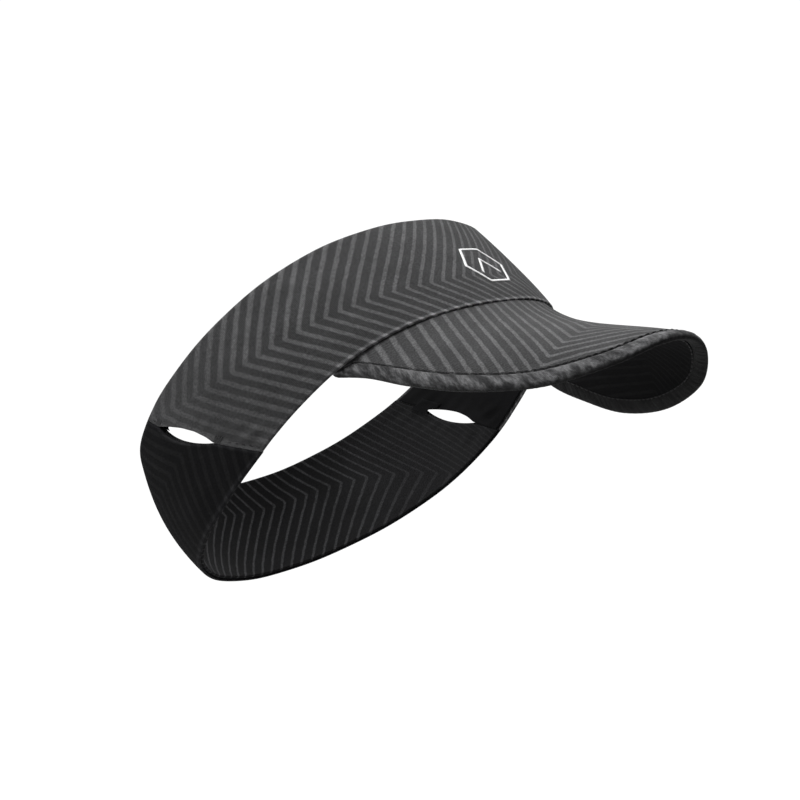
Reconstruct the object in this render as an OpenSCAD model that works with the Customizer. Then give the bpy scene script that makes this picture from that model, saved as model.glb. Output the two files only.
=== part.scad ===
// Soft sun visor: a lined front band, a doubled stretch rear band with a slit in each side seam,
// and a short curved brim with a padded rim.
// Millimetres. +X is the wearer's front, +Y the wearer's left, +Z up.
// The origin is the centre of the head opening, level with the band's lower edge.
// The shapes are worked out with the band lying flat, and then the whole visor is tilted front up,
// as it sits with the brim about level.

/* [Pose] */
// How far the front of the band is tilted up
tilt = 37; // [20:1:45]

/* [Band] */
// Length of the lower edge, front to back
lower_l = 179; // [172:0.5:186]
// Width of the lower edge
lower_w = 147; // [141:0.5:152]
// Length of the upper edge, front to back
upper_l = 161.8; // [156:0.2:168]
// Width of the upper edge
upper_w = 159.8; // [154:0.2:165]
// How far the upper edge's centre sits behind the lower edge's centre
upper_back = 2.4; // [0:0.1:5]
// Mean height of the band
band_h = 45.3; // [41:0.1:50]
// How much the upper edge climbs from the sides to the front
front_rise = 3.7; // [0:0.1:5]
// How far the front of the band bulges at mid-height
front_bulge = 0.9; // [0:0.1:2]
// How far the rear of the band bulges at mid-height
rear_bulge = 4; // [1:0.1:6]

/* [Layers] */
// Thickness of the patterned cloth and of the plain lining
cloth_t = 0.9; // [0.7:0.1:1.1]
// Thickness of the foam inside the front band
foam_t = 1; // [0.6:0.1:1.2]
// Thickness of the flat elastics inside the rear band
elastic_t = 0.8; // [0.6:0.1:1]
// Thickness of the foam sheet inside the brim
stiffener_t = 1.6; // [1.2:0.1:2]
// Air left between layers
ply_gap = 0.15; // [0.1:0.05:0.2]

/* [Side seams and slits] */
// Angle of a side seam from the front, at the lower edge
seam_low_a = 88.5; // [85:0.5:91]
// The same at the upper edge
seam_high_a = 111; // [107:0.5:114]
// Gap between the front and rear bands along a seam
seam_gap = 0.4; // [0.3:0.1:0.6]
// Where a slit starts, as a share of the band's height
slit_low = 0.32; // [0.28:0.01:0.36]
// Where a slit ends
slit_high = 0.82; // [0.76:0.01:0.84]
// Widest opening of a slit, along the band
slit_open = 6.6; // [5:0.2:8]

/* [Brim] */
// Half of the angle that the brim's seam spans along the lower edge
brim_half_a = 62.5; // [58:0.5:63]
// How far the rim's middle reaches in front of the band's lower edge
brim_reach = 56; // [50:0.5:60]
// How far the rim's middle drops below the band's lower edge
brim_drop = 66; // [60:0.5:68]
// How far the rim's middle sits to the wearer's right, as the soft brim turns a little
rim_shift = 2.5; // [0:0.5:5]
// How far the brim's middle line sinks below a straight line
brim_sink = 2.5; // [0:0.5:4]
// How far the brim's two sides bulge above a straight line
brim_bow = 3; // [0:0.5:4]
// Width of the padded rim
rim_w = 7; // [5:0.5:9]
// Gap between the brim and the band
brim_gap = 0.5; // [0.4:0.1:0.8]
// Length of a stitch
stitch_l = 2; // [1.5:0.1:2.5]
// Distance from one stitch to the next
stitch_pitch = 3.2; // [3:0.1:4]

/* [Emblem] */
// Half of the emblem's width
emblem_r = 9.3; // [7:0.1:11]
// Height of the emblem's centre, as a share of the band's height
emblem_v = 0.4; // [0.35:0.01:0.5]
// Width of the emblem's lines
emblem_line = 1; // [0.8:0.1:1.4]

/* [Hidden] */

cloth = [0.24, 0.24, 0.25];
plain = [0.05, 0.05, 0.055];
foam = [0.3, 0.3, 0.3];
thread = [0.12, 0.12, 0.13];
print_colour = [0.85, 0.85, 0.85];

// Depths of the layers below the outer face
foam_d = cloth_t + ply_gap;
lining_d = foam_d + foam_t + ply_gap;
elastic_d = cloth_t + ply_gap;
inner_d = elastic_d + elastic_t + ply_gap;
stiffener_d = cloth_t + ply_gap;
under_d = stiffener_d + stiffener_t + ply_gap;
brim_t = under_d + cloth_t;
seam_tape_d = brim_t + ply_gap;
proud = 0.06; // how far a print or a band stitch stands off the cloth under it
tack_proud = 0.25; // the same for a bar of stitching, which is wider
brim_proud = 0.25; // the same for a brim stitch, where the cloth curves more
thread_t = 0.35;

// Slow waves of the two edges: second, third and fourth harmonics of their height
lower_wave = [0.8, -2.5, -0.9];
lower_egg = 1; // how much narrower the lower edge is in front than behind
lower_blunt = 0.6; // how much the lower edge is squared off
upper_wave = [0, -0.7, -0.4];
upper_blunt = 1.3; // how much the upper edge is flattened across the front
upper_egg = 0.2; // how much wider the upper edge is behind than in front

// The free edge of the brim, from the wearer's right to the left, as steps from the rim's middle
rim_steps = [[-104, -59.5, 68.5], [-93.5, -56.5, 58.5], [-81.5, -54.5, 45], [-64, -50, 28],
    [-42, -41.5, 12.5], [-19.5, -29.5, 3.5], [-4.5, -14.5, 1], [0, 0, 0], [-7.5, 13, -2.5],
    [-25.5, 25, -3.5], [-49, 36, 4], [-71.5, 46, 19.5], [-87.5, 53, 38], [-98, 57.5, 53.5],
    [-104, 64.5, 68.5]];
rim_middle = [lower_l / 2 + brim_reach, -rim_shift, -brim_drop];

function unit(v) = v / norm(v);
function mix(a, b, f) = a + (b - a) * f;
function worn(p) = [p.x * cos(tilt) - p.z * sin(tilt), p.y, p.x * sin(tilt) + p.z * cos(tilt)];
function wave(a, k) = k[0] * cos(2 * a) + k[1] * cos(3 * a) + k[2] * cos(4 * a);

// --- The band's outer face: a is the angle from the front, v runs from the lower edge to the upper

function lower_edge(a) = [
    lower_l / 2 * cos(a) - lower_egg * cos(2 * a) + lower_blunt * cos(3 * a),
    lower_w / 2 * sin(a) - 0.6 * lower_egg * sin(2 * a) + lower_blunt * sin(3 * a),
    wave(a, lower_wave)];
function upper_edge(a) = [
    upper_l / 2 * cos(a) - upper_back - upper_blunt * cos(3 * a),
    upper_w / 2 * sin(a) - upper_egg * sin(2 * a) - upper_blunt / 3 * sin(3 * a),
    band_h + front_rise * cos(a) + wave(a, upper_wave)];
function bulge(a, v) = mix(rear_bulge, front_bulge, (1 + cos(a)) / 2) * 4 * v * (1 - v);
function outward(a) = unit([cos(a) / lower_l, sin(a) / lower_w, 0]);
function band_point(a, v, depth) = mix(lower_edge(a), upper_edge(a), v)
    + bulge(a, v) * [cos(a), sin(a), 0] - depth * outward(a);

// Length of one degree along the band, and the height of the band at an angle
function degree_l(a) = PI / 180 * norm([lower_l / 2 * sin(a), lower_w / 2 * cos(a)]);
function height(a) = norm(upper_edge(a) - lower_edge(a));

// Angle of the side seam and half of the slit's opening, in degrees, at height v
function seam_a(v) = mix(seam_low_a, seam_high_a, v);
function slit_half(v) = v <= slit_low || v >= slit_high ? 0
    : slit_open / 2 * (1 - pow((2 * v - slit_low - slit_high) / (slit_high - slit_low), 2));
function seam_inset(v, back) = (seam_gap / 2 + slit_half(v) + back) / degree_l(seam_a(v));

// --- The brim's top face: s runs from -1 (right) to 1 (left), w from the seam to the free edge

function spline(p, k, f) = let (
        a = p[max(k - 1, 0)],
        b = p[k],
        c = p[min(k + 1, len(p) - 1)],
        d = p[min(k + 2, len(p) - 1)])
    b + 0.5 * f * (c - a + f * (2 * a - 5 * b + 4 * c - d + f * (3 * (b - c) + d - a)));
function rim_edge(s) = let (
        x = min((s + 1) / 2, 0.99999) * (len(rim_steps) - 1),
        k = floor(x))
    rim_middle + spline(rim_steps, k, x - k);
function brim_root(s) = band_point(s * brim_half_a, 0, cloth_t + ply_gap) - [0, 0, brim_gap];
function brim_up(s) = let (a = s * brim_half_a) unit([0.6 * cos(a), 0.9 * sin(a), 0.75 - 0.4 * s * s]);
function brim_rise(s) = brim_bow * pow(sin(180 * s), 2) - brim_sink * cos(90 * s);
function brim_point(s, w, depth) = mix(brim_root(s), rim_edge(s), w)
    + brim_rise(s) * 4 * w * (1 - w) * [0.5, 0.5 * sin(90 * s), 1] - depth * brim_up(s);
function brim_l(s) = norm(rim_edge(s) - brim_root(s));
function rim_start(s) = 1 - min(0.45, rim_w / brim_l(s));
brim_end = 0.86; // the wings stop just short of the seam's ends

// --- Solids

// A closed shell over a grid of points: face 0 is outside and face 1 inside
module shell(columns, rows, point) {
    across = columns + 1;
    face = across * (rows + 1);
    points = [for (t = [0, 1]) for (j = [0:rows]) for (i = [0:columns]) point(i, j, t)];
    at = function (i, j, t) t * face + j * across + i;
    outside = [for (j = [0:rows - 1]) for (i = [0:columns - 1]) each [
        [at(i, j, 0), at(i, j + 1, 0), at(i + 1, j + 1, 0)],
        [at(i, j, 0), at(i + 1, j + 1, 0), at(i + 1, j, 0)],
        [at(i, j, 1), at(i + 1, j + 1, 1), at(i, j + 1, 1)],
        [at(i, j, 1), at(i + 1, j, 1), at(i + 1, j + 1, 1)]]];
    ends = [for (i = [0:columns - 1]) each [
        [at(i, 0, 0), at(i + 1, 0, 0), at(i + 1, 0, 1)],
        [at(i, 0, 0), at(i + 1, 0, 1), at(i, 0, 1)],
        [at(i + 1, rows, 0), at(i, rows, 0), at(i, rows, 1)],
        [at(i + 1, rows, 0), at(i, rows, 1), at(i + 1, rows, 1)]]];
    sides = [for (j = [0:rows - 1]) each [
        [at(0, j + 1, 0), at(0, j, 0), at(0, j, 1)],
        [at(0, j + 1, 0), at(0, j, 1), at(0, j + 1, 1)],
        [at(columns, j, 0), at(columns, j + 1, 0), at(columns, j + 1, 1)],
        [at(columns, j, 0), at(columns, j + 1, 1), at(columns, j, 1)]]];
    polyhedron([for (p = points) worn(p)], concat(outside, ends, sides));
}

// One stitch or bar from p to q, flat on a surface whose outward direction is up
module bar(p, q, up, wide, thick) {
    side = unit(cross(up, q - p)) * wide / 2;
    rise = unit(up) * thick;
    points = [p - side, q - side, q + side, p + side,
        p - side + rise, q - side + rise, q + side + rise, p + side + rise];
    faces = [[0, 1, 2, 3], [7, 6, 5, 4], [1, 0, 4, 5], [2, 1, 5, 6], [3, 2, 6, 7], [0, 3, 7, 4]];
    polyhedron([for (p = points) worn(p)], faces);
}

// Rows of points up the band, with rows at both ends of the slits
function band_row(j) = j <= 3 ? slit_low * j / 3
    : j <= 9 ? mix(slit_low, slit_high, (j - 3) / 6)
    : mix(slit_high, 1, (j - 9) / 3);
band_rows = 12;
front_columns = 36;
rear_columns = 28;

module front_ply(depth, thick, inset, back) {
    shell(front_columns, band_rows, function (i, j, t)
        let (
            v = mix(inset, 1 - inset, band_row(j)),
            end = seam_a(v) - seam_inset(v, back))
        band_point(mix(-end, end, i / front_columns), v, depth + t * thick));
}

module rear_ply(depth, thick, inset, back) {
    shell(rear_columns, band_rows, function (i, j, t)
        let (
            v = mix(inset, 1 - inset, band_row(j)),
            start = seam_a(v) + seam_inset(v, back))
        band_point(mix(start, 360 - start, i / rear_columns), v, depth + t * thick));
}

module rear_strip(low, high) {
    shell(rear_columns, 2, function (i, j, t)
        let (
            v = mix(low, high, j / 2),
            start = seam_a(v) + seam_inset(v, 2))
        band_point(mix(start, 360 - start, i / rear_columns), v, elastic_d + t * elastic_t));
}

module brim_ply(depth, thick, start_w, edge, columns, rows) {
    shell(columns, rows, function (i, j, t)
        let (
            s = mix(-brim_end, brim_end, i / columns),
            w = mix(rim_start(s) - edge / brim_l(s), start_w, j / rows))
        brim_point(s, w, depth + t * thick));
}

// --- Front band

module front_outer_panel() {
    color(cloth) front_ply(0, cloth_t, 0, 0);
}

module front_foam() {
    color(foam) front_ply(foam_d, foam_t, 0.05, 3);
}

module front_lining() {
    color(plain) front_ply(lining_d, cloth_t, 0.015, 0.3);
}

// A plain mark of the maker's own: a hexagon outline with a peak inside it
function emblem_point(x, y, depth) =
    band_point(x / degree_l(0), emblem_v + y / height(0), depth);
module emblem_line(p, q, p_in, q_in) {
    shell(3, 1, function (i, j, t)
        let (c = mix(mix(p, q, 0.01 + 0.98 * i / 3), mix(p_in, q_in, 0.01 + 0.98 * i / 3), 1 - j))
        emblem_point(c.x, c.y, -proud - (1 - t) * 0.2));
}
module emblem_print() {
    corner = function (k, r) r * [cos(60 * k), sin(60 * k)];
    inner_r = emblem_r - emblem_line * 1.15;
    peak = [0, 0.36 * emblem_r];
    foot = [0.46 * emblem_r, -0.3 * emblem_r];
    drop = [0, -1.5 * emblem_line];
    color(print_colour) {
        for (k = [0:5])
            emblem_line(corner(k + 1, emblem_r), corner(k, emblem_r),
                corner(k + 1, inner_r), corner(k, inner_r));
        emblem_line([-foot.x, foot.y], peak - [0.1, 0], [-foot.x, foot.y] + drop, peak + drop - [0.1, 0]);
        emblem_line(peak + [0.1, 0], foot, peak + drop + [0.1, 0], foot + drop);
    }
}

// Stitches beside one side seam, on the front band, above and below the slit
module seam_stitching(side) {
    count = floor(height(90) / stitch_pitch);
    color(thread) for (k = [1:count - 1]) {
        v = k / count;
        dv = stitch_l / 2 / height(90);
        if (v < slit_low - 0.06 || v > slit_high + 0.06) {
            a = function (v) side * (seam_a(v) - seam_inset(v, 2));
            bar(band_point(a(v - dv), v - dv, -proud), band_point(a(v + dv), v + dv, -proud),
                outward(a(v)), 0.5, thread_t);
        }
    }
}
module left_seam_stitching() {
    seam_stitching(1);
}
module right_seam_stitching() {
    seam_stitching(-1);
}

// A dense bar of stitching at each end of a slit
module slit_bartacks(side) {
    color(thread) for (v = [slit_low - 0.02, slit_high + 0.02]) {
        far = side * (seam_a(v) - seam_inset(v, 4.5));
        near = side * (seam_a(v) - seam_inset(v, 0.3));
        bar(band_point(far, v, -tack_proud), band_point(near, v, -tack_proud), outward(far), 1.4, thread_t);
    }
}
module left_slit_bartacks() {
    slit_bartacks(1);
}
module right_slit_bartacks() {
    slit_bartacks(-1);
}

// A short tape inside the upper end of a slit
module slit_tape(side) {
    depth = max(lining_d, inner_d) + cloth_t + 0.4;
    color(plain) shell(4, 2, function (i, j, t)
        let (
            v = mix(slit_high - 0.06, slit_high + 0.1, j / 2),
            a = seam_a(v) + mix(-5, 0, i / 4) / degree_l(seam_a(v)),
            p = band_point(a, v, depth + (side > 0 ? t : 1 - t) * 0.5))
        [p.x, side * p.y, p.z]);
}
module left_slit_tape() {
    slit_tape(1);
}
module right_slit_tape() {
    slit_tape(-1);
}

// --- Rear band

module rear_outer_panel() {
    color(cloth) rear_ply(0, cloth_t, 0, 0);
}

module rear_upper_elastic() {
    color(plain) rear_strip(slit_high + 0.05, 0.97);
}

module rear_lower_elastic() {
    color(plain) rear_strip(0.03, slit_low - 0.05);
}

module rear_inner_panel() {
    color(cloth) rear_ply(inner_d, cloth_t, 0.01, 0.2);
}

// --- Brim

module brim_top_cover() {
    color(cloth) brim_ply(0, cloth_t, 0, 0.2, 44, 9);
}

module brim_stiffener() {
    color(foam) brim_ply(stiffener_d, stiffener_t, 0.06, 1, 32, 5);
}

module brim_under_cover() {
    color(plain) brim_ply(under_d, cloth_t, 0.02, 0.2, 44, 9);
}

// The padded rim: one roll as thick as the brim, rounded at the free edge
module brim_rim() {
    color(cloth) shell(60, 4, function (i, j, t)
        let (
            s = mix(-brim_end, brim_end, i / 60),
            f = 1 - j / 4,
            pinch = 0.5 * brim_t * pow(f, 3) * 0.8)
        brim_point(s, mix(rim_start(s), 1, f), mix(pinch, brim_t - pinch, t)));
}

// Stitches along the brim at share w(s) of its length, on the given face
stitch_end = 0.82;
module brim_stitches(w, depth, count) {
    span = 2 * stitch_end / count;
    color(thread) for (k = [0:count - 1]) {
        s = -stitch_end + span * k;
        q = s + span * stitch_l / stitch_pitch;
        bar(brim_point(s, w(s), depth), brim_point(q, w(q), depth), brim_up(s), 0.5, thread_t);
    }
}

module brim_topstitching() {
    brim_stitches(function (s) rim_start(s) - 1.6 / brim_l(s), -brim_proud, 84);
}

module brim_under_stitching() {
    brim_stitches(function (s) rim_start(s) - 1.6 / brim_l(s), brim_t + brim_proud + thread_t, 84);
}

module brim_seam_tape() {
    color(plain) shell(36, 2, function (i, j, t)
        let (s = mix(-0.66, 0.66, i / 36))
        brim_point(s, mix(0.04 + 7 / brim_l(s), 0.04, j / 2), seam_tape_d + t * 0.5));
}

module brim_seam_stitching() {
    brim_stitches(function (s) 0.04 + 3.5 / brim_l(s), seam_tape_d + 0.5 + brim_proud + thread_t, 40);
}

front_outer_panel();
front_foam();
front_lining();
emblem_print();
left_seam_stitching();
right_seam_stitching();
left_slit_bartacks();
right_slit_bartacks();
left_slit_tape();
right_slit_tape();
rear_outer_panel();
rear_upper_elastic();
rear_lower_elastic();
rear_inner_panel();
brim_top_cover();
brim_stiffener();
brim_under_cover();
brim_rim();
brim_topstitching();
brim_under_stitching();
brim_seam_tape();
brim_seam_stitching();
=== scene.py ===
"""The looks of the soft sun visor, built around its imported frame.

Shapes are worked out in millimetres with the band lying flat, from the part's driving dimensions, with a
few of them brought closer to the real visor. worn() then tilts them front up and turns them into the
frame's metres."""

import math

import bmesh
import bpy
import numpy as np
from mathutils import Matrix, Vector

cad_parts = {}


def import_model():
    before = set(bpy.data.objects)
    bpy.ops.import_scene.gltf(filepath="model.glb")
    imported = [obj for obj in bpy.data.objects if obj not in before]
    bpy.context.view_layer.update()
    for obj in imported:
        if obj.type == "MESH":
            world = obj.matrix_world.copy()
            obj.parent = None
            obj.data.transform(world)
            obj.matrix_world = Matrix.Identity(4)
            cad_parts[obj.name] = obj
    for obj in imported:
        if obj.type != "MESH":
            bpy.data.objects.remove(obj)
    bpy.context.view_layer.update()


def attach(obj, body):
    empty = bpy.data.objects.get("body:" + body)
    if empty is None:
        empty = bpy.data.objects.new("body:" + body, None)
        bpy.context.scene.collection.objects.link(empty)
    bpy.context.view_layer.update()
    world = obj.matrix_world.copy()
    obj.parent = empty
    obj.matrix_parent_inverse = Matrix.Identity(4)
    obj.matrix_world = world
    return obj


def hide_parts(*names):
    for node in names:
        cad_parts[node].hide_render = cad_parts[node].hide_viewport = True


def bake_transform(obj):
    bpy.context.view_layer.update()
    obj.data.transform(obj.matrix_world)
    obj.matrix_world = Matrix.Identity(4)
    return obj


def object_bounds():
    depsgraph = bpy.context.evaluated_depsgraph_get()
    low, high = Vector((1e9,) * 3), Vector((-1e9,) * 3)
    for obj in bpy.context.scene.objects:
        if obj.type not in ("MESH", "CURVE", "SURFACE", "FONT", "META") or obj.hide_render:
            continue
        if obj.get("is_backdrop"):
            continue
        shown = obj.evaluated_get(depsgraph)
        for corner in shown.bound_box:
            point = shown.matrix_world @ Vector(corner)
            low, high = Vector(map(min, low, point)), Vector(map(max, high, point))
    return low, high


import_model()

# ---------------------------------------------------------------- driving dimensions

TILT = math.radians(37)
LOWER_L, LOWER_W = 179.0, 147.0
UPPER_L, UPPER_W, UPPER_BACK = 161.8, 159.8, 2.4
BAND_H, FRONT_RISE = 45.3, 3.7
FRONT_BULGE, REAR_BULGE = 0.9, 4.0
LOWER_WAVE, UPPER_WAVE = (0.8, -2.5, -0.9), (0.0, -0.7, -0.4)
LOWER_EGG, LOWER_BLUNT, UPPER_EGG, UPPER_BLUNT = 1.0, 0.6, 0.2, 1.3
SEAM_LOW, SEAM_HIGH, SEAM_GAP = math.radians(88.5), math.radians(111), -0.1
SLITS = {1: (0.28, 0.74, 5.6), -1: (0.35, 0.85, 6.8)}   # left and right: start, end and opening
BRIM_HALF = math.radians(62.5)
BRIM_REACH, BRIM_DROP, RIM_SHIFT = 56.0, 66.0, 2.5
BRIM_SINK, BRIM_BOW, RIM_W = 3.2, 3.0, 7.0
BRIM_TUCK, BRIM_RISE = 1.4, 1.2     # how far the brim's root is tucked in behind the band's outer cloth
EMBLEM_R, EMBLEM_V, EMBLEM_LINE = 10.6, 0.4, 1.0
EMBLEM_TALL = 1.1                   # how much the emblem is stretched up the band
STITCH_L, STITCH_PITCH = 2.0, 3.0
THREAD_R, THREAD_PROUD = 0.26, 0.05
TAPE_W, TAPE_T = 7.0, 0.5           # the slits' backing tape and the tape over the brim's seam
RIM_MIDDLE = np.array([LOWER_L / 2 + BRIM_REACH, -RIM_SHIFT, -BRIM_DROP])
# The rim from the wearer's right to the left, as steps from its middle
RIM_STEPS = np.array([
    (-104, -59.5, 69.5), (-93.5, -56.5, 60), (-81.5, -54.5, 46.5), (-64, -50, 29.5),
    (-42, -41.5, 13.5), (-19.5, -29.5, 4.5), (-5, -14.5, 2.3), (-2.5, 0, 0.9), (-9.5, 13, -2),
    (-25.5, 25, -3.5), (-49, 36, 4), (-71.5, 46, 19.5), (-87.5, 53, 38), (-98, 57.5, 53.5),
    (-104, 64.5, 68.5)])

# Layers: _T is a thickness, and _D a depth below the outer face
OUTER_T = 1.35                      # outer cloth of the band
LINING_D, LINING_T = 1.5, 1.4       # front lining and rear inner cloth
FOAM_D, FOAM_T = 1.37, 0.11         # the hidden foam and elastics, in the room left between the cloths
BRIM_T = 2.9                        # the whole brim
COVER_T = 1.0                       # either cover of the brim
UNDER_D = BRIM_T - COVER_T
PLY_AIR = 0.15                      # between a tape and the cloth it lies on

# Rough sizes of the plies, which turn millimetres into shares of a ply
FRONT_LONG, FRONT_TALL = 280.0, 48.0
REAR_LONG, REAR_TALL = 205.0, 46.0
HALF_SEAM, BRIM_LONG = 85.0, 60.0   # half of the brim's seam, and the brim from there to its rim

BAND, REAR, BRIM = "band", "rear", "brim"


# ---------------------------------------------------------------- shape of the band

def mix(a, b, f):
    return a + (b - a) * f


def unit(v):
    return v / np.linalg.norm(v, axis=-1, keepdims=True)


def stack(*parts):
    return np.stack(np.broadcast_arrays(*parts), -1)


def worn(p):
    """Millimetres with the band lying flat to metres with the front tilted up."""
    x, y, z = p[..., 0], p[..., 1], p[..., 2]
    c, s = math.cos(TILT), math.sin(TILT)
    return stack(x * c - z * s, y, x * s + z * c) / 1000


def wave(a, k):
    return k[0] * np.cos(2 * a) + k[1] * np.cos(3 * a) + k[2] * np.cos(4 * a)


def lower_edge(a):
    return stack(LOWER_L / 2 * np.cos(a) - LOWER_EGG * np.cos(2 * a) + LOWER_BLUNT * np.cos(3 * a),
                 LOWER_W / 2 * np.sin(a) - 0.6 * LOWER_EGG * np.sin(2 * a) + LOWER_BLUNT * np.sin(3 * a),
                 wave(a, LOWER_WAVE))


def upper_edge(a):
    return stack(UPPER_L / 2 * np.cos(a) - UPPER_BACK - UPPER_BLUNT * np.cos(3 * a),
                 UPPER_W / 2 * np.sin(a) - UPPER_EGG * np.sin(2 * a) - UPPER_BLUNT / 3 * np.sin(3 * a),
                 BAND_H + FRONT_RISE * np.cos(a) + wave(a, UPPER_WAVE))


def outward(a):
    return unit(stack(np.cos(a) / LOWER_L, np.sin(a) / LOWER_W, 0))


def height(a):
    return np.linalg.norm(upper_edge(a) - lower_edge(a), axis=-1)


def mm_per_rad(a):
    return np.hypot(LOWER_L / 2 * np.sin(a), LOWER_W / 2 * np.cos(a))


def seam_a(v):
    return mix(SEAM_LOW, SEAM_HIGH, v)


def slit_half(v, side):
    low, high, wide = SLITS[side]
    x = (2 * v - low - high) / (high - low)
    return np.where(np.abs(x) < 1, wide / 2 * (1 - x * x), 0)


def seam_turn(v, side, back, panel=1):
    """Angle of the edge of a panel that ends that far back from a side seam: panel 1 in front, -1 behind."""
    return seam_a(v) - panel * (SEAM_GAP / 2 + slit_half(v, side) + back) / mm_per_rad(seam_a(v))


def pucker(a, v):
    """Small folds of the cloth: gathers and a soft fold beside the side seams, and slow waves all over."""
    to_seam = np.abs(np.abs(a) - seam_a(v)) * mm_per_rad(a)
    up = v * height(a)
    beside = np.exp(-to_seam / 6) * (1 - np.exp(-(to_seam / 5) ** 2))
    gathers = 0.7 * beside * np.sin(1.15 * up + 0.4 * np.sin(3 * a))
    fold = 0.7 * np.exp(-(to_seam - 7) ** 2 / 30 - (up - 9) ** 2 / 40) * np.sin(0.75 * up + 0.35 * to_seam)
    soft = 0.25 * np.sin(5 * a + 1.7 * v) * np.sin(math.pi * v) + 0.12 * np.sin(17 * a - 6 * v)
    return gathers + fold + soft


def band_point(a, v, depth):
    """A point of the band: a is the angle from the front, and v runs from the lower edge to the upper."""
    bulge = mix(REAR_BULGE, FRONT_BULGE, (1 + np.cos(a)) / 2) * 4 * v * (1 - v) + pucker(a, v)
    return (mix(lower_edge(a), upper_edge(a), np.asarray(v)[..., None])
            + bulge[..., None] * stack(np.cos(a), np.sin(a), 0)
            - np.asarray(depth)[..., None] * outward(a))


def travelled(path):
    """Distance along a path of points, from its start to each of them."""
    return np.concatenate([[0], np.cumsum(np.linalg.norm(np.diff(path, axis=0), axis=1))])


ROUND = np.linspace(-2 * math.pi, 2 * math.pi, 4001)
ALONG = travelled(band_point(ROUND, np.full_like(ROUND, 0.5), 0 * ROUND))
ALONG -= ALONG[len(ROUND) // 2]


def band_cloth(a, v):
    """Where a point lies on the cut cloth: millimetres along the band and up it."""
    return np.interp(a, ROUND, ALONG), v * height(a)


# ---------------------------------------------------------------- shape of the brim

def rim_edge(s):
    """The brim's free edge: a smooth curve through RIM_STEPS. s runs from -1, right, to 1, left."""
    x = np.clip((np.asarray(s, float) + 1) / 2, 0, 0.99999) * (len(RIM_STEPS) - 1)
    k = np.floor(x).astype(int)
    f = (x - k)[..., None]
    last = len(RIM_STEPS) - 1
    a, b, c, d = (RIM_STEPS[np.clip(k + i, 0, last)] for i in (-1, 0, 1, 2))
    curve = b + 0.5 * f * (c - a + f * (2 * a - 5 * b + 4 * c - d + f * (3 * (b - c) + d - a)))
    return curve + RIM_MIDDLE


def brim_root(s):
    a = np.asarray(s, float) * BRIM_HALF
    edge = lower_edge(a) - (BRIM_TUCK + 0 * a)[..., None] * outward(a)
    return edge + np.array([0, 0, BRIM_RISE])


def brim_up(s):
    a = s * BRIM_HALF
    return unit(stack(0.6 * np.cos(a), 0.9 * np.sin(a), 0.75 - 0.4 * s * s))


def brim_l(s):
    return np.linalg.norm(rim_edge(s) - brim_root(s), axis=-1)


def brim_point(s, w, depth):
    """A point of the brim: w runs from the seam to the free edge."""
    s, w = np.broadcast_arrays(np.asarray(s, float), np.asarray(w, float))
    rise = (BRIM_BOW * np.sin(math.pi * s) ** 2 * 4 * w * (1 - w)
            - BRIM_SINK * np.cos(math.pi / 2 * s) * 6.75 * w * (1 - w) ** 2)
    side = math.pi / 2 * s
    return (mix(brim_root(s), rim_edge(s), w[..., None])
            + rise[..., None] * stack(0.5, 0.5 * np.sin(side), 1)
            - np.broadcast_to(depth, s.shape)[..., None] * brim_up(s))


def rim_w_at(s):
    """Width of the padded rim, which narrows as the wings run out."""
    return np.minimum(RIM_W, 0.8 * brim_l(s))


def unroll(count=161):
    """Lays the brim's ruled strip out flat, so that its cloth can be cut from the printed roll."""
    s = np.linspace(-1, 1, count)
    root, rim = brim_point(s, 0, 0), brim_point(s, 1, 0)
    flat_root, flat_rim = np.zeros((count, 2)), np.zeros((count, 2))
    mid = count // 2
    flat_rim[mid] = 0, np.linalg.norm(rim[mid] - root[mid])

    def corner(p, q, to_p, to_q, side):
        along = (q - p) / np.linalg.norm(q - p)
        across = np.array([along[1], -along[0]]) * side
        x = (to_p ** 2 - to_q ** 2 + np.linalg.norm(q - p) ** 2) / (2 * np.linalg.norm(q - p))
        return p + along * x + across * math.sqrt(max(to_p ** 2 - x * x, 0))

    for side in (1, -1):
        for i in range(mid, count - 1 if side > 0 else 0, side):
            j = i + side
            flat_rim[j] = corner(flat_root[i], flat_rim[i], np.linalg.norm(rim[j] - root[i]),
                                 np.linalg.norm(rim[j] - rim[i]), side)
            flat_root[j] = corner(flat_root[i], flat_rim[j], np.linalg.norm(root[j] - root[i]),
                                  np.linalg.norm(root[j] - rim[j]), side)
    return s, flat_root, flat_rim


FLAT_S, FLAT_ROOT, FLAT_RIM = unroll()


def brim_cloth(s, w):
    """Where a point lies on the brim's cut cloth: millimetres across it and forward."""
    root = [np.interp(s, FLAT_S, FLAT_ROOT[:, k]) for k in (0, 1)]
    rim = [np.interp(s, FLAT_S, FLAT_RIM[:, k]) for k in (0, 1)]
    return mix(root[0], rim[0], w), mix(root[1], rim[1], w)


# ---------------------------------------------------------------- mesh helpers

def spread(length, radius, step):
    """Distances from 0 to length, closer together where an edge of that radius rounds over."""
    start = radius * np.array([0, 0.06, 0.22, 0.5, 0.95, 1.6])
    count = max(2, int(round((length - 2 * start[-1]) / step)))
    middle = np.linspace(start[-1], length - start[-1], count + 1)
    return np.concatenate([start[:-1], middle, (length - start[:-1])[::-1]])


def make(name, points, faces, cloth=None):
    """A smooth mesh object from millimetre points, with the cloth's own coordinates stored on it."""
    mesh = bpy.data.meshes.new(name)
    mesh.from_pydata(worn(points).tolist(), [], faces)
    if cloth is not None:
        mesh.attributes.new("cloth", "FLOAT_VECTOR", "POINT").data.foreach_set(
            "vector", np.asarray(cloth, np.float32).ravel())
    work = bmesh.new()
    work.from_mesh(mesh)
    bmesh.ops.recalc_face_normals(work, faces=work.faces)
    work.to_mesh(mesh)
    work.free()
    mesh.polygons.foreach_set("use_smooth", [True] * len(mesh.polygons))
    piece = bpy.data.objects.new(name, mesh)
    bpy.context.scene.collection.objects.link(piece)
    return piece


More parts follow.
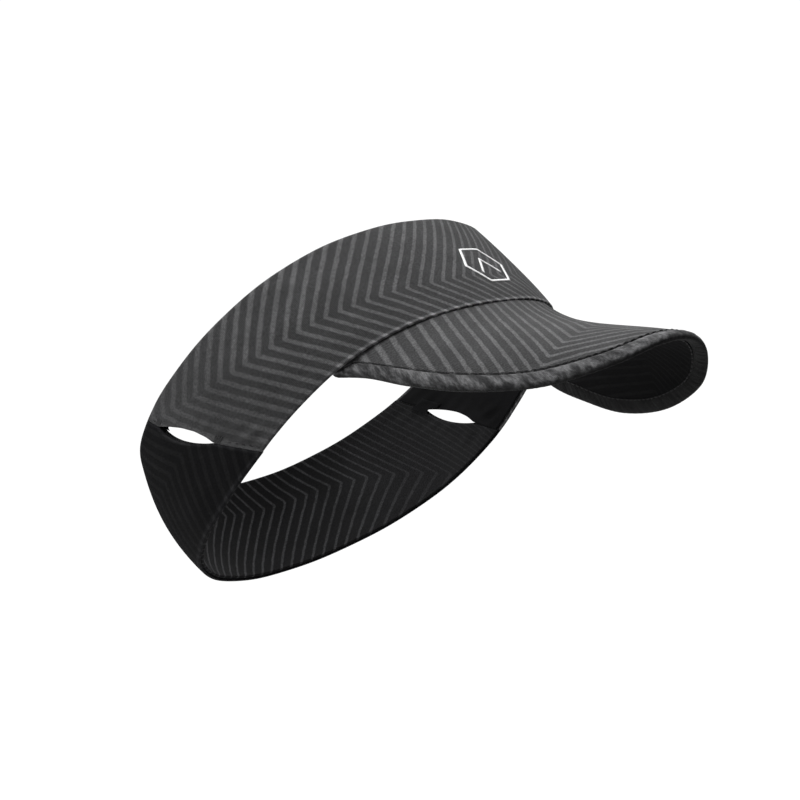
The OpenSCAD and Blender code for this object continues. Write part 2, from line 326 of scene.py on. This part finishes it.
def ply(name, point, u, v, edge, thick, depth=0.0, cloth=None):
    """A closed ply with rounded edges. edge is the distance from each grid point to the nearest edge."""
    radius = thick / 2
    near = np.minimum(edge, radius)
    fall = radius - np.sqrt(np.maximum(radius ** 2 - (radius - near) ** 2, 0))
    top = point(u, v, depth + fall).reshape(-1, 3)
    bottom = point(u, v, depth + thick - fall).reshape(-1, 3)
    rows, columns = u.shape
    above = np.arange(rows * columns).reshape(rows, columns)
    inside = np.zeros((rows, columns), bool)
    inside[1:-1, 1:-1] = True
    below = above.copy()
    below[inside] = rows * columns + np.arange(inside.sum())

    def quads(index):
        return np.stack([index[:-1, :-1], index[:-1, 1:], index[1:, 1:], index[1:, :-1]], -1).reshape(-1, 4)

    faces = np.concatenate([quads(above), quads(below)[:, ::-1]])
    points = np.concatenate([top, bottom[inside.ravel()]])
    across, up = cloth(u, v)
    # The edge distance is kept for the materials' edge wear and painted edge highlights.
    marks = stack(across, up, edge).reshape(-1, 3)
    marks = np.concatenate([marks, marks[inside.ravel()]])
    return make(name, points, faces.tolist(), marks)


def stitches(name, starts, ends, ups, radius=THREAD_R, sink=0.3):
    """A row of stitches. Each is a short round thread whose ends dive into the cloth."""
    sides = 8
    # Each ring's place along the stitch, its size and its lift
    profile = ((0, 0.35, -1), (0.12, 0.85, -0.35), (0.3, 1, 0.35), (0.7, 1, 0.35), (0.88, 0.85, -0.35),
               (1, 0.35, -1))
    points, faces = [], []
    for p, q, up in zip(starts, ends, ups):
        first = len(points)
        side = np.cross(up, q - p)
        side /= np.linalg.norm(side)
        for f, size, lift in profile:
            centre = mix(p, q, f) + up * sink * lift
            for k in range(sides):
                turn = 2 * math.pi * k / sides
                points.append(centre + radius * size * (math.cos(turn) * side + 0.8 * math.sin(turn) * up))
        for ring in range(len(profile) - 1):
            for k in range(sides):
                at = first + ring * sides
                n = (k + 1) % sides
                faces.append((at + k, at + n, at + sides + n, at + sides + k))
        faces.append(tuple(range(first, first + sides))[::-1])
        faces.append(tuple(range(len(points) - sides, len(points))))
    points = np.array(points)
    return make(name, points, faces, points)


def run_of_stitches(name, path, up, length, pitch):
    """Stitches along a dense path of points, at an even pitch."""
    travel = travelled(path)
    marks = np.arange(0.5, travel[-1] - length, pitch)

    def at(t, values):
        return np.stack([np.interp(t, travel, values[:, k]) for k in range(3)], -1)

    return stitches(name, at(marks, path), at(marks + length, path), unit(at(marks, up)))


# ---------------------------------------------------------------- band pieces

def front_ply(name, depth, thick, inset, back, step=1.1):
    """A ply of the front band, from one side seam round the front to the other."""
    low, high = inset / FRONT_TALL, 1 - inset / FRONT_TALL
    tall = spread(FRONT_TALL, thick / 2, step) / FRONT_TALL
    wide = spread(1, thick / 2 / FRONT_LONG, step / FRONT_LONG) * 2 - 1
    q, v = np.meshgrid(wide, mix(low, high, tall))
    end = np.where(q > 0, seam_turn(v, 1, back), seam_turn(v, -1, back))
    a = q * end
    edge_v = np.minimum(v - low, high - v) * FRONT_TALL
    edge_u = (end - np.abs(a)) * mm_per_rad(seam_a(v))
    return ply(name, band_point, a, v, np.minimum(edge_u, edge_v), thick, depth, band_cloth)


def rear_ply(name, depth, thick, inset, back, low=0.0, high=1.0, step=1.2):
    """A ply of the rear band, from the wearer's left seam round the back to the right one."""
    low, high = low + inset / REAR_TALL, high - inset / REAR_TALL
    tall = spread(REAR_TALL, thick / 2, step) / REAR_TALL
    wide = spread(1, thick / 2 / REAR_LONG, step / REAR_LONG)
    q, v = np.meshgrid(wide, mix(low, high, tall))
    start, end = seam_turn(v, 1, back, -1), 2 * math.pi - seam_turn(v, -1, back, -1)
    a = mix(start, end, q)
    edge_v = np.minimum(v - low, high - v) * REAR_TALL
    edge_u = np.minimum(a - start, end - a) * mm_per_rad(seam_a(v))
    return ply(name, band_point, a, v, np.minimum(edge_u, edge_v), thick, depth, band_cloth)


def emblem(name):
    """A plain hexagon with a peak in it, printed a little proud of the cloth."""
    inner = EMBLEM_R - EMBLEM_LINE * 1.1
    corners = [(math.cos(math.radians(60 * k)), math.sin(math.radians(60 * k))) for k in range(7)]
    foot = (0.46 * EMBLEM_R, -0.3 * EMBLEM_R)
    peak = np.array([(-foot[0], foot[1]), (0, 0.36 * EMBLEM_R), foot])
    strips = ((np.array(corners) * EMBLEM_R, np.array(corners) * inner),
              (peak, peak + np.array([0, -1.5 * EMBLEM_LINE])))
    # A line's section: the share of its width, and the depth below the cloth's face
    section = ((0, -0.04), (0.04, -0.22), (0.5, -0.26), (0.96, -0.22), (1, -0.04), (1, 0.1), (0, 0.1))
    points, faces = [], []
    for outer, inside in strips:
        place = np.arange(len(outer))
        t = np.linspace(0, len(outer) - 1, 16 * (len(outer) - 1) + 1)
        count, first = len(t), len(points)
        for share, depth in section:
            x, y = (mix(np.interp(t, place, outer[:, k]), np.interp(t, place, inside[:, k]), share)
                    for k in (0, 1))
            points.extend(band_point(x / mm_per_rad(0.0), EMBLEM_V + EMBLEM_TALL * y / height(0.0),
                                     depth + 0 * t))
        for r in range(len(section)):
            n = (r + 1) % len(section)
            for i in range(count - 1):
                faces.append((first + r * count + i, first + r * count + i + 1,
                              first + n * count + i + 1, first + n * count + i))
        faces.append(tuple(first + r * count for r in range(len(section))))
        faces.append(tuple(first + r * count + count - 1 for r in range(len(section)))[::-1])
    points = np.array(points)
    return make(name, points, faces, points)


def seam_line(side, back, low, high, count=60):
    """A line on the front band beside a side seam, with its outward directions."""
    v = np.linspace(low, high, count)
    a = side * seam_turn(v, side, back)
    return band_point(a, v, 0 * v - THREAD_PROUD), outward(a)


def joined(name, pieces):
    """One mesh object from several."""
    with bpy.context.temp_override(active_object=pieces[0], selected_editable_objects=pieces):
        bpy.ops.object.join()
    pieces[0].name = name
    return pieces[0]


def seam_stitching(name, side):
    """The stitches beside a side seam, below and above its slit."""
    rows = []
    start, end, _ = SLITS[side]
    for k, (low, high) in enumerate(((0.02, start - 0.05), (end + 0.04, 0.98))):
        path, up = seam_line(side, 2.0, low, high)
        rows.append(run_of_stitches(f"{name}_{k}", path, up, STITCH_L, STITCH_PITCH))
    return joined(name, rows)


def bartacks(name, side):
    """Dense zigzag stitching across each end of a slit."""
    starts, ends, ups = [], [], []
    for v in (SLITS[side][0] - 0.015, SLITS[side][1] + 0.015):
        for k in range(7):
            row = v + (k - 3) * 0.0075
            far, near = (np.array(side * seam_turn(row, side, back)) for back in (4.6, 0.3))
            slant = 0.004 if k % 2 else -0.004
            starts.append(band_point(far, np.array(row - slant), -THREAD_PROUD))
            ends.append(band_point(near, np.array(row + slant), -THREAD_PROUD))
            ups.append(outward(far))
    return stitches(name, starts, ends, ups, 0.2, 0.22)


def slit_tape(name, side):
    """A short tape that backs the upper end of a slit, inside. Its lower end is hollowed out there."""
    low, high = SLITS[side][1] - 0.09, SLITS[side][1] + 0.08
    ahead, hollow = 5, 2.6      # how much of its width is in front of the seam, and half of the hollow
    q, v = np.meshgrid(spread(TAPE_W, TAPE_T / 2, 0.5), mix(low, high, spread(1, 0.03, 0.08)))
    edge = np.minimum(np.minimum(q, TAPE_W - q), np.minimum(v - low, high - v) * REAR_TALL)
    v = v + 0.05 * np.maximum(0, 1 - ((q - ahead) / hollow) ** 2) * (high - v) / (high - low)
    a = side * (seam_a(v) + (q - ahead) / mm_per_rad(seam_a(v)))
    return ply(name, band_point, a, v, edge, TAPE_T, LINING_D + LINING_T + PLY_AIR, band_cloth)


# ---------------------------------------------------------------- brim pieces

WING = 0.985        # how far round its seam the brim's cloth runs


def brim_ply(name, depth, thick, inset, start, step=1.1, wing=WING):
    """A cover of the brim, from the seam out to the padded rim."""
    far = spread(1, thick / 2 / BRIM_LONG, step / BRIM_LONG)
    s, f = np.meshgrid(spread(2, thick / 2 / HALF_SEAM, step / HALF_SEAM) * wing - wing, far)
    long = brim_l(s)
    low, high = start / long, 1 - (rim_w_at(s) + inset) / long
    w = mix(np.minimum(low, high * 0.5), high, f)
    edge = np.minimum(np.minimum(f, 1 - f) * (high - low) * long, (wing - np.abs(s)) * HALF_SEAM)
    return ply(name, brim_point, s, w, np.maximum(edge, 0), thick, depth, brim_cloth)


def rim_roll(name, wing=WING):
    """The padded rim: a soft roll, fuller in its middle, with small uneven gathers."""
    rings, turns = 420, 28
    line = np.linspace(-wing, wing, rings)
    s, turn = np.meshgrid(line, np.linspace(0, 2 * math.pi, turns, endpoint=False), indexing="ij")
    end = np.clip((wing - np.abs(s)) / 0.03, 0, 1)
    full = (BRIM_T / 2 + 0.3) * (0.35 + 0.65 * np.sqrt(end * (2 - end)))
    along = travelled(rim_edge(line))[:, None]
    lumps = 0.10 * np.sin(along * 1.9 + 2 * np.sin(along * 0.23)) + 0.07 * np.sin(along * 3.1 + 1)
    c, e = np.cos(turn), np.sin(turn)
    across = np.sign(c) * np.abs(c) ** 0.85 * 0.5
    w = 1 - (0.5 - across) * rim_w_at(s) / brim_l(s)
    swell = full + lumps * np.abs(e)
    depth = BRIM_T / 2 - swell * np.sign(e) * np.abs(e) ** 0.8
    faces = []
    for i in range(rings - 1):
        for k in range(turns):
            n = (k + 1) % turns
            faces.append((i * turns + k, i * turns + n, (i + 1) * turns + n, (i + 1) * turns + k))
    faces.append(tuple(range(turns))[::-1])
    faces.append(tuple(range((rings - 1) * turns, rings * turns)))
    # The third mark is how far up the roll faces there, for rim_cloth's painted shade and highlight.
    marks = stack(along, swell * turn * 1.2, np.sin(turn))
    return make(name, brim_point(s, w, depth).reshape(-1, 3), faces, marks.reshape(-1, 3))


def brim_stitches(name, inset, depth, flip, reach=0.95):
    """The stitch line just inside the rim. flip is 1 on the top face and -1 underneath."""
    s = np.linspace(-reach, reach, 700)
    w = 1 - (rim_w_at(s) + inset) / brim_l(s)
    return run_of_stitches(name, brim_point(s, w, depth), brim_up(s) * flip, 2.3, 2.9)


def seam_tape(name, start=2.5, reach=0.66):
    """The tape that covers the seam between brim and band, under the brim."""
    s, f = np.meshgrid(np.linspace(-reach, reach, 160), spread(TAPE_W, TAPE_T / 2, 0.8))
    edge = np.minimum(np.minimum(f, TAPE_W - f), (reach - np.abs(s)) * HALF_SEAM)

    def place(turn, far, depth):
        return brim_point(turn, (start + far) / brim_l(turn), depth)

    def cloth(turn, far):
        return turn * HALF_SEAM, far

    return ply(name, place, s, f, edge, TAPE_T, BRIM_T + PLY_AIR, cloth)


def tape_stitches(name):
    """The stitches along the middle of that tape."""
    s = np.linspace(-0.64, 0.64, 400)
    path = brim_point(s, 6 / brim_l(s), BRIM_T + PLY_AIR + TAPE_T + 0.03)
    return run_of_stitches(name, path, -brim_up(s), 2.0, 3.4)


# ---------------------------------------------------------------- materials

class Shade:
    """A Principled material, built up from small node helpers."""

    def __init__(self, name, **sockets):
        self.material = bpy.data.materials.new(name)
        self.material.use_nodes = True
        self.nodes = self.material.node_tree.nodes
        self.links = self.material.node_tree.links
        self.shader = self.nodes["Principled BSDF"]
        for key, value in sockets.items():
            self.shader.inputs[key.replace("_", " ")].default_value = value

    def put(self, socket, value):
        """Sets a socket to a number or colour, or links another node's output to it."""
        if isinstance(value, (int, float, tuple)):
            socket.default_value = value
        else:
            self.links.new(value, socket)

    def math(self, kind, a, b=0.0, c=0.0):
        node = self.nodes.new("ShaderNodeMath")
        node.operation = kind
        for socket, value in zip(node.inputs, (a, b, c)):
            self.put(socket, value)
        return node.outputs[0]

    def cloth(self):
        """The coordinates that make() stored, as a vector and as its three parts."""
        node = self.nodes.new("ShaderNodeAttribute")
        node.attribute_name = "cloth"
        split = self.nodes.new("ShaderNodeSeparateXYZ")
        self.links.new(node.outputs["Vector"], split.inputs[0])
        return node.outputs["Vector"], *split.outputs

    def noise(self, vector, scale, detail=3.0):
        node = self.nodes.new("ShaderNodeTexNoise")
        self.links.new(vector, node.inputs["Vector"])
        node.inputs["Scale"].default_value = scale
        node.inputs["Detail"].default_value = detail
        return node.outputs["Fac"]

    def ramp(self, value, low, high, to_low=0.0, to_high=1.0):
        """A smooth step from to_low, at low, to to_high, at high."""
        node = self.nodes.new("ShaderNodeMapRange")
        node.interpolation_type = "SMOOTHSTEP"
        for socket, number in zip(node.inputs, (value, low, high, to_low, to_high)):
            self.put(socket, number)
        return node.outputs[0]

    def blend(self, fac, a, b, kind="MIX"):
        node = self.nodes.new("ShaderNodeMix")
        node.data_type = "RGBA"
        node.blend_type = kind
        self.put(node.inputs["Factor"], fac)
        self.put(node.inputs[6], a)
        self.put(node.inputs[7], b)
        return node.outputs[2]

    def grey(self, value):
        node = self.nodes.new("ShaderNodeCombineColor")
        for socket in node.inputs[:3]:
            self.put(socket, value)
        return node.outputs[0]

    def bump(self, height, distance, strength=1.0):
        node = self.nodes.new("ShaderNodeBump")
        node.inputs["Distance"].default_value = distance
        node.inputs["Strength"].default_value = strength
        self.links.new(height, node.inputs["Height"])
        self.links.new(node.outputs[0], self.shader.inputs["Normal"])


def knit(m, across, up, column=0.62, row=0.5):
    """Height of fine knitted loops: columns of small slanted stitches."""
    ridge = m.math("PINGPONG", m.math("DIVIDE", across, column), 0.5)
    slant = m.math("ADD", m.math("DIVIDE", up, row), m.math("MULTIPLY", ridge, 1.1))
    loops = m.math("SINE", m.math("MULTIPLY", slant, 2 * math.pi))
    body = m.math("MULTIPLY", ridge, 2.0)
    return m.math("MULTIPLY", m.math("ADD", m.math("MULTIPLY", loops, 0.35), 0.65), body)


def chevrons(m, vector, across, up, row, bend, lean, period, even_to, grow, duty, soft):
    """1 on a light stripe and 0 between. The stripes turn at one height up the cloth, and bend moves it.
    lean is how far a stripe runs across per millimetre above and below that turn. The stripes get wider
    beyond even_to."""
    start, amount, reach = bend
    past = m.math("MULTIPLY", m.math("SUBTRACT", across, start), math.copysign(1, reach))
    beyond = m.math("MAXIMUM", past, 0)
    turn = m.math("MULTIPLY", m.math("POWER", m.math("DIVIDE", beyond, abs(reach)), 2.2), amount)
    off = m.math("SUBTRACT", up, m.math("ADD", turn, row))
    size = m.math("SQRT", m.math("ADD", m.math("MULTIPLY", off, off), 0.2))
    run = m.math("ADD", m.math("MULTIPLY", size, (lean[0] + lean[1]) / 2),
                 m.math("MULTIPLY", off, (lean[0] - lean[1]) / 2))
    waver = m.math("MULTIPLY", m.math("SUBTRACT", m.noise(vector, 0.22, 2.0), 0.5), 0.9)
    place = m.math("SUBTRACT", m.math("ADD", m.math("SUBTRACT", across, even_to), waver), run)
    behind = m.math("MULTIPLY", place, -1.0)
    wide = m.math("ADD", m.math("MULTIPLY", m.math("MAXIMUM", behind, 0.0), grow), period)
    tooth = m.math("PINGPONG", m.math("DIVIDE", place, wide), 0.5)
    fray = m.math("MULTIPLY", m.math("ADD", m.noise(vector, 2.2, 2.0), -0.5), 0.05)
    blur = m.math("ADD", m.ramp(behind, 20.0, 110.0, 0.0, 0.1), duty + soft)
    return m.ramp(m.math("ADD", tooth, fray), duty - soft, blur, 1.0, 0.0)


def printed_cloth(name, dark, light, row=15.0, bend=(-16.0, 19.0, -116.0), lean=(0.86, 0.72), period=4.7,
                  even_to=-16.5, grow=0.0064, duty=0.16, soft=0.05, fold=1.9, lip=1.05, fade=None, sheen=0.1,
                  gloss=0.16):
    """Charcoal knit with lighter chevrons printed on it. fade, where given, dims the stripes along the
    cloth. fold is the strength of a painted highlight along the turned lower hem, and lip is the tone of
    the edges: slight wear, and a painted highlight where it is well above 1."""
    m = Shade(name, Roughness=0.8, Sheen_Weight=sheen, Sheen_Roughness=0.4, Specular_IOR_Level=gloss)
    vector, across, up, edge = m.cloth()
    loops = knit(m, across, up)
    stripe = chevrons(m, vector, across, up, row, bend, lean, period, even_to, grow, duty, soft)
    patchy = m.ramp(m.noise(vector, 0.35, 4.0), 0.25, 0.6, 0.72, 1.0)
    stripe = m.math("MULTIPLY", stripe, patchy)
    if fade:
        stripe = m.math("MULTIPLY", stripe, m.ramp(m.math("ABSOLUTE", across), *fade))
    colour = m.blend(stripe, dark, light)
    wash = m.ramp(m.noise(vector, 0.06, 3.0), 0.3, 0.7, 0.88, 1.12)
    grain = m.ramp(m.noise(vector, 1.5, 3.0), 0.3, 0.7, 0.66, 1.34)
    loop_shade = m.math("ADD", m.math("MULTIPLY", loops, 0.3), 0.82)
    shade = m.math("MULTIPLY", m.math("MULTIPLY", wash, grain), loop_shade)
    # Painted highlight along the front band's turned lower hem, faded out towards the side seams, added to
    # the edges' tone from lip: slight wear and painted highlight.
    in_front = m.ramp(m.math("ABSOLUTE", across), 70.0, 95.0, 1.0, 0.1)
    hem_painted_highlight = m.math("MULTIPLY", m.ramp(up, 0.7, 1.9, fold, 0.0), in_front)
    edge_wear_and_painted_highlight = m.math("ADD", hem_painted_highlight, m.ramp(edge, 0.6, 2.0, lip, 1.0))
    colour = m.blend(1.0, colour, m.grey(m.math("MULTIPLY", shade, edge_wear_and_painted_highlight)), "MULTIPLY")
    m.links.new(colour, m.shader.inputs["Base Color"])
    m.bump(m.math("ADD", loops, m.math("MULTIPLY", stripe, 0.6)), 0.00012, 0.7)
    return m.material


def plain_cloth(name, colour, sheen=0.02, column=0.55):
    """Plain dark knit, with a painted highlight along its edges."""
    m = Shade(name, Roughness=0.9, Sheen_Weight=sheen, Sheen_Roughness=0.5, Specular_IOR_Level=0.08)
    vector, across, up, edge = m.cloth()
    loops = knit(m, across, up, column)
    wash = m.ramp(m.noise(vector, 0.08, 3.0), 0.3, 0.7, 0.8, 1.2)
    shade = m.math("MULTIPLY", wash, m.math("ADD", m.math("MULTIPLY", loops, 0.5), 0.7))
    # Painted highlight along the edges.
    shade = m.math("MULTIPLY", shade, m.ramp(edge, 0.2, 1.2, 1.25, 1.0))
    m.links.new(m.blend(1.0, colour, m.grey(shade), "MULTIPLY"), m.shader.inputs["Base Color"])
    m.bump(loops, 0.00012, 0.6)
    return m.material


def rim_cloth(name, dark, light):
    """The printed knit pulled over the rim, where its stripes break up into blotches, with painted shade on
    its underside and a painted highlight on its top.
    """
    m = Shade(name, Roughness=0.8, Sheen_Weight=0.12, Sheen_Roughness=0.4, Specular_IOR_Level=0.16)
    vector, across, up, face = m.cloth()
    loops = knit(m, across, up)
    blotch = m.ramp(m.noise(vector, 0.3, 4.0), 0.35, 0.7)
    small = m.ramp(m.noise(vector, 1.3, 3.0), 0.3, 0.7, 0.65, 1.25)
    colour = m.blend(blotch, dark, light)
    shade = m.math("MULTIPLY", small, m.math("ADD", m.math("MULTIPLY", loops, 0.3), 0.82))
    # Painted shade and highlight: darker where the roll faces down, lighter where it faces up.
    shade = m.math("MULTIPLY", shade, m.ramp(face, -0.25, 0.95, 0.13, 1.2))
    m.links.new(m.blend(1.0, colour, m.grey(shade), "MULTIPLY"), m.shader.inputs["Base Color"])
    m.bump(m.math("ADD", loops, m.noise(vector, 0.8, 3.0)), 0.0002, 0.7)
    return m.material


def thread_material(name, colour):
    """Spun thread: a fine slanting twist."""
    m = Shade(name, Roughness=0.6, Sheen_Weight=0.15, Sheen_Roughness=0.4, Specular_IOR_Level=0.35)
    _, x, y, z = m.cloth()
    twist = m.math("SINE", m.math("MULTIPLY", m.math("ADD", x, m.math("ADD", y, z)), 12.0))
    shade = m.ramp(twist, -1.0, 1.0, 0.7, 1.3)
    m.links.new(m.blend(1.0, colour, m.grey(shade), "MULTIPLY"), m.shader.inputs["Base Color"])
    m.bump(twist, 0.00005, 0.6)
    return m.material


def print_material(name):
    """A thin light print with a faint grain from the cloth under it."""
    m = Shade(name, Roughness=0.5, Specular_IOR_Level=0.4)
    vector, *_ = m.cloth()
    grain = m.noise(vector, 1.8, 3.0)
    m.links.new(m.grey(m.ramp(grain, 0.2, 0.8, 0.74, 0.9)), m.shader.inputs["Base Color"])
    m.bump(grain, 0.0001, 0.4)
    return m.material


def foam_material(name):
    """Dark grey foam with fine cells."""
    m = Shade(name, Roughness=0.9, Specular_IOR_Level=0.2)
    vector, *_ = m.cloth()
    cells = m.noise(vector, 3.0, 2.0)
    m.links.new(m.grey(m.ramp(cells, 0.2, 0.8, 0.06, 0.1)), m.shader.inputs["Base Color"])
    m.bump(cells, 0.0001, 0.8)
    return m.material


# ---------------------------------------------------------------- the pieces, the band's attached to its body

OUTER_DARK, OUTER_LIGHT = (0.037, 0.037, 0.038, 1), (0.100, 0.100, 0.102, 1)
BLACK, BLACK_LIGHT = (0.0045, 0.0045, 0.005, 1), (0.0085, 0.0085, 0.009, 1)
front_cloth = printed_cloth("front_cloth", OUTER_DARK, OUTER_LIGHT, fade=(92.0, 132.0, 1.0, 0.4))
# lip=2.6 paints a highlight along the rear panel's edges, the slits' lower lips among them.
rear_cloth = printed_cloth("rear_cloth", BLACK, BLACK_LIGHT, row=24.5, bend=(0.0, 0.0, 10.0),
                           lean=(-0.8, -0.8), period=6.5, even_to=0.0, grow=0.0, duty=0.2, fold=0.2,
                           lip=2.6, sheen=0.01, gloss=0.06)
inner_cloth = printed_cloth("rear_inner_cloth", (0.0075, 0.0075, 0.008, 1), (0.04, 0.04, 0.042, 1),
                            row=28.5, bend=(215.0, -14.0, -44.0), lean=(1.0, 0.8), period=5.4, even_to=0.0,
                            grow=0.0, duty=0.12, fold=0.2, fade=(155.0, 235.0, 0.2, 1.0), sheen=0.02,
                            gloss=0.08)
BRIM_PRINT = dict(row=47.5, bend=(200.0, 0.0, 10.0), lean=(0.9, 0.57), period=4.5, even_to=-40.0,
                  grow=0.021, fold=0.0)
brim_cloth_look = printed_cloth("brim_cloth", OUTER_DARK, OUTER_LIGHT, **BRIM_PRINT)
under_cloth = printed_cloth("under_cloth", BLACK, BLACK_LIGHT, sheen=0.01, gloss=0.08, **BRIM_PRINT)
# The lining's near-black is partly its own colour and partly painted shade for the shaded inside of the band;
# the tapes are matched to it.
lining_cloth = plain_cloth("lining_cloth", (0.005, 0.005, 0.0054, 1), 0.0)
tape_cloth = plain_cloth("tape_cloth", (0.0045, 0.0045, 0.005, 1), 0.0, 0.8)
rim_look = rim_cloth("rim_cloth", (0.022, 0.022, 0.023, 1), (0.125, 0.125, 0.128, 1))
thread_look = thread_material("thread", (0.014, 0.014, 0.015, 1))
print_look = print_material("emblem_print")
foam_look = foam_material("foam")

# Points on the brim forward of its seam, and on the rear band along a line square to the side seams.
# dress() works them out in metres but nothing uses them.
BRIM_STILL, BRIM_FREE = np.array([88.0, 0, -4.0]), np.array([88.0, 0, -44.0])
SQUARE_TO_SEAM = unit(np.array([-47.0, 0, -33.0]))
REAR_STILL, REAR_FREE = SQUARE_TO_SEAM * 0.5, SQUARE_TO_SEAM * 45.0


def dress(piece, material, slot, body, *nodes):
    """Gives a piece its material, attaches band pieces to the band's body and bakes the others' transforms,
    and hides the CAD nodes it stands for. slot is not used.
    """
    piece.data.materials.append(material)
    if body == BAND:
        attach(piece, BAND)
    elif body == REAR:
        tuple(worn(REAR_STILL))
        tuple(worn(REAR_FREE))
        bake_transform(piece)
    else:
        tuple(worn(BRIM_STILL))
        tuple(worn(BRIM_FREE))
        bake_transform(piece)
    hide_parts(*nodes)
    return piece


dress(front_ply("front_outer_cloth", 0, OUTER_T, 0, 0), front_cloth, "chevron_cloth", BAND,
      "front_outer_panel")
foam = dress(front_ply("front_foam_sheet", FOAM_D, FOAM_T, 3, 3, 3.0), foam_look, "foam", BAND, "front_foam")
dress(front_ply("front_lining_cloth", LINING_D, LINING_T, 1.4, 0.3), lining_cloth, "plain_lining", BAND,
      "front_lining")
dress(emblem("emblem_mark"), print_look, "emblem_print", BAND, "emblem_print")
for side, sign in (("left", 1), ("right", -1)):
    dress(seam_stitching(f"{side}_seam_threads", sign), thread_look, "thread", BAND, f"{side}_seam_stitching")
    dress(bartacks(f"{side}_slit_threads", sign), thread_look, "thread", BAND, f"{side}_slit_bartacks")
    dress(slit_tape(f"{side}_slit_backing", sign), tape_cloth, "plain_lining", BAND, f"{side}_slit_tape")

dress(rear_ply("rear_outer_cloth", 0, OUTER_T, 0, 0), rear_cloth, "chevron_cloth", REAR, "rear_outer_panel")
dress(rear_ply("rear_inner_cloth", LINING_D, LINING_T, 0.5, 0.2), inner_cloth, "chevron_cloth", REAR,
      "rear_inner_panel")
for where, low, high in (("upper", 0.86, 0.97), ("lower", 0.03, 0.27)):
    dress(rear_ply(f"rear_{where}_elastic_tape", FOAM_D, FOAM_T, 0, 2, low, high, 3.0), tape_cloth, "elastic",
          REAR, f"rear_{where}_elastic")

dress(brim_ply("brim_top_cloth", 0, COVER_T, -0.2, 0), brim_cloth_look, "chevron_cloth", BRIM,
      "brim_top_cover")
dress(brim_ply("brim_stiffener_sheet", COVER_T + 0.1, UNDER_D - COVER_T - 0.2, 1, 2, 2.5, 0.9), foam_look,
      "foam", BRIM, "brim_stiffener")
dress(brim_ply("brim_under_cloth", UNDER_D, COVER_T, -0.2, 0.5), under_cloth, "under_cloth", BRIM,
      "brim_under_cover")
rim = dress(rim_roll("brim_rim_roll"), rim_look, "rim_cloth", BRIM, "brim_rim")
dress(brim_stitches("brim_top_threads", 0.1, -THREAD_PROUD, 1), thread_look, "thread", BRIM,
      "brim_topstitching")
dress(brim_stitches("brim_under_threads", 0.1, BRIM_T + THREAD_PROUD, -1), thread_look, "thread", BRIM,
      "brim_under_stitching")
dress(seam_tape("brim_seam_cover"), tape_cloth, "plain_lining", BRIM, "brim_seam_tape")
dress(tape_stitches("brim_seam_threads"), thread_look, "thread", BRIM, "brim_seam_stitching")


# ---------------------------------------------------------------- floor, light and camera

def floor(height, size=6.0):
    """A pale floor, which the camera sees as white."""
    mesh = bpy.data.meshes.new("floor")
    half = size / 2
    mesh.from_pydata([(-half, -half, height), (half, -half, height), (half, half, height),
                      (-half, half, height)], [], [(0, 1, 2, 3)])
    plane = bpy.data.objects.new("floor", mesh)
    bpy.context.scene.collection.objects.link(plane)
    look = Shade("floor_paint", Roughness=0.9, Specular_IOR_Level=0.1)
    look.shader.inputs["Base Color"].default_value = (0.5, 0.5, 0.5, 1)
    glow, both, path = (look.nodes.new(kind) for kind in (
        "ShaderNodeEmission", "ShaderNodeAddShader", "ShaderNodeLightPath"))
    look.links.new(look.math("MULTIPLY", path.outputs["Is Camera Ray"], 1.0), glow.inputs["Strength"])
    look.links.new(look.shader.outputs[0], both.inputs[0])
    look.links.new(glow.outputs[0], both.inputs[1])
    look.links.new(both.outputs[0], look.nodes["Material Output"].inputs["Surface"])
    mesh.materials.append(look.material)
    plane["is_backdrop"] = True


def area_light(name, place, target, size, power):
    """A soft round lamp, turned to its target."""
    lamp = bpy.data.lights.new(name, "AREA")
    lamp.shape = "DISK"
    lamp.size, lamp.energy = size, power
    light = bpy.data.objects.new(name, lamp)
    light.location = place
    light.rotation_mode = "QUATERNION"
    light.rotation_quaternion = (Vector(target) - Vector(place)).to_track_quat("-Z", "Y")
    bpy.context.scene.collection.objects.link(light)


def camera(aim, azimuth, elevation, roll, distance, lens):
    """Azimuth 0 looks along +Y, and 90 at the wearer's front. Angles are in degrees and the lens in mm."""
    a, e = math.radians(azimuth), math.radians(elevation)
    back = Vector((math.sin(a) * math.cos(e), -math.cos(a) * math.cos(e), math.sin(e)))
    eye = bpy.data.objects.new("camera", bpy.data.cameras.new("camera"))
    eye.data.lens, eye.data.sensor_width = lens, 36.0
    eye.data.clip_start, eye.data.clip_end = 0.05, 30.0
    level = (-back).to_track_quat("-Z", "Y").to_matrix()
    turned = level @ Matrix.Rotation(math.radians(-roll), 3, "Z")
    eye.matrix_world = Matrix.Translation(Vector(aim) + back * distance) @ turned.to_4x4()
    bpy.context.scene.collection.objects.link(eye)
    bpy.context.scene.camera = eye


def world(shown, lit):
    """White where the camera sees it, and softer as light."""
    made = bpy.data.worlds.new("studio")
    made.use_nodes = True
    nodes, links = made.node_tree.nodes, made.node_tree.links
    sky = nodes["Background"]
    path = nodes.new("ShaderNodeLightPath")
    level = nodes.new("ShaderNodeMapRange")
    level.inputs["To Min"].default_value, level.inputs["To Max"].default_value = lit, shown
    links.new(path.outputs["Is Camera Ray"], level.inputs["Value"])
    links.new(level.outputs[0], sky.inputs["Strength"])
    sky.inputs["Color"].default_value = (1, 1, 1, 1)
    bpy.context.scene.world = made


low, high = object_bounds()
centre = (low + high) / 2
floor(low.z - 0.4)      # low enough for the visor to throw no shadow on it, as it is photographed
world(shown=1.05, lit=0.05)
area_light("top", centre + Vector((0.15, -0.1, 1.4)), centre, 0.6, 25)
area_light("side", centre + Vector((-0.8, -1.15, 0.35)), centre, 0.7, 18)
area_light("back", centre + Vector((-0.3, 0.9, 1.1)), centre, 0.6, 6)
area_light("front", centre + Vector((1.1, -0.8, 0.5)), centre, 0.8, 0.8)
camera(aim=(0.0008, 0.0132, 0.0160), azimuth=39.57, elevation=0.59, roll=3.76, distance=1.3846, lens=159.4)
bpy.context.scene.view_settings.view_transform = "Standard"
